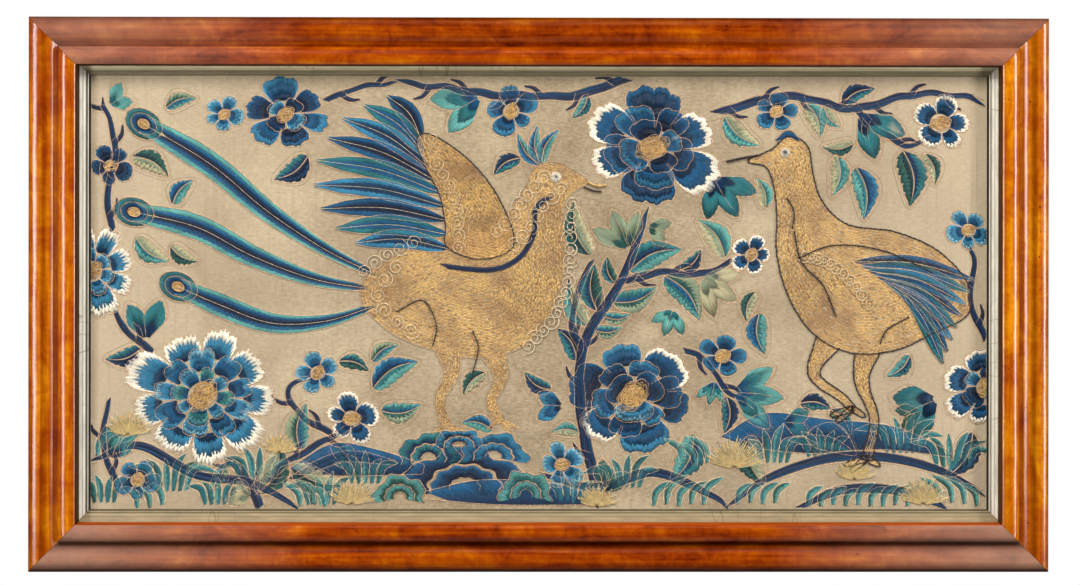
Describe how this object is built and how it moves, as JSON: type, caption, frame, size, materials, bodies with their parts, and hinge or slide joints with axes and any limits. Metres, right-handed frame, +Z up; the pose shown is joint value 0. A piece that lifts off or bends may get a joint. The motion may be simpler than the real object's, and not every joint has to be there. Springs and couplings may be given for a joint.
{
  "type": "embroidered silk panel in a mitred wood frame",
  "caption": "Wall-hung rectangular wood frame with a narrow gilt slip, holding a stretched silk cloth embroidered with flowers, leaves and gold birds.",
  "frame": {"origin": "centre of the top rail's back face, on the wall plane", "axes": "+Y into the wall, +X along the frame's long side to the right of someone facing it, +Z up; the panel looks towards -Y"},
  "size_m": [1.06, 0.0283, 0.5759],
  "materials": {
    "maple": "old varnished maple, amber to red-brown, mottled figure, glossy",
    "gilt": "worn silvery gilt leaf on wood, with hairline cracks across it",
    "silk": "beige silk with a fine crosswise rib, aged and lightly stained",
    "floss": "untwisted silk floss in blues, teals, greens, cream and gold, with the sheen of satin stitch",
    "gold_thread": "couched gilt thread, granular and glinting",
    "board": "plain unvarnished deal, dusty with age"
  },
  "bodies": {
    "root": {"frame_rail_top": "maple", "frame_rail_bottom": "maple", "frame_rail_left": "maple", "frame_rail_right": "maple", "slip_top": "gilt", "slip_bottom": "gilt", "slip_left": "gilt", "slip_right": "gilt", "embroidered_cloth": "silk", "backing_board": "board"}
  },
  "joints": []
}
